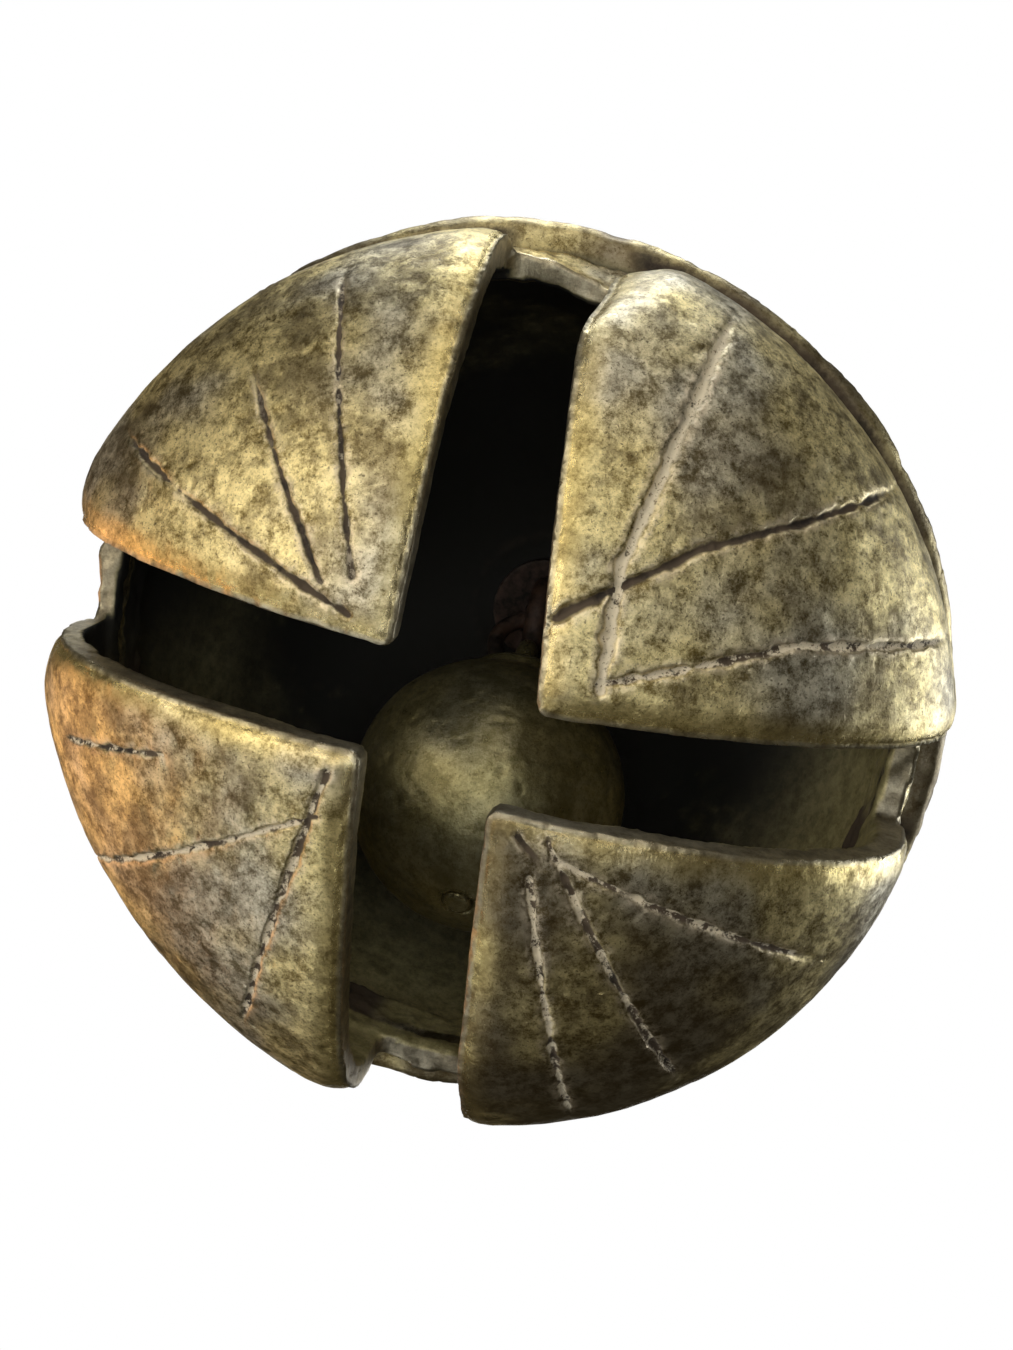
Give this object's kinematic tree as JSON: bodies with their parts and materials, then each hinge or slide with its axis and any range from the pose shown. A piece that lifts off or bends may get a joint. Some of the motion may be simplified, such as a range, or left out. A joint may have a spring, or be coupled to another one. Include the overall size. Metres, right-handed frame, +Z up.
{
  "type": "claw bell",
  "caption": "Cast brass claw bell: a domed body whose claws curve in under it, round a ball clapper that hangs from the crown, with a loop on top to hang it by.",
  "frame": {"origin": "centre of the crown loop's eye, from which the bell hangs", "axes": "+Z up along the bell's axis, from the claws to the crown; +Y along the eye's bore, on the side that the clapper leans to at rest"},
  "size_m": [0.0743, 0.075, 0.0875],
  "materials": {
    "brass": "cast and worn, with a brown and olive patina",
    "ball_brass": "cast, dull dark olive",
    "iron": "forged, brown with old rust"
  },
  "bodies": {
    "bell": {"dome": "brass", "claw_ring": "brass", "crown_collar": "brass", "crown_loop": "brass", "clapper_staple": "iron", "staple_washer": "iron"},
    "link": {"clapper_link": "iron"},
    "clapper": {"clapper_ball": "ball_brass", "clapper_eye": "ball_brass"}
  },
  "joints": [
    {"name": "link_swing", "type": "hinge", "parent": "bell", "child": "link", "pos_m": [0, 0, -0.0239], "axis": [1, 0, 0], "range_deg": [-80, 9]},
    {"name": "clapper_side_swing", "type": "hinge", "parent": "link", "child": "clapper", "pos_m": [0, 0.00275, -0.02783], "axis": [0, 0.8192, 0.5736], "range_deg": [-25, 25]}
  ]
}
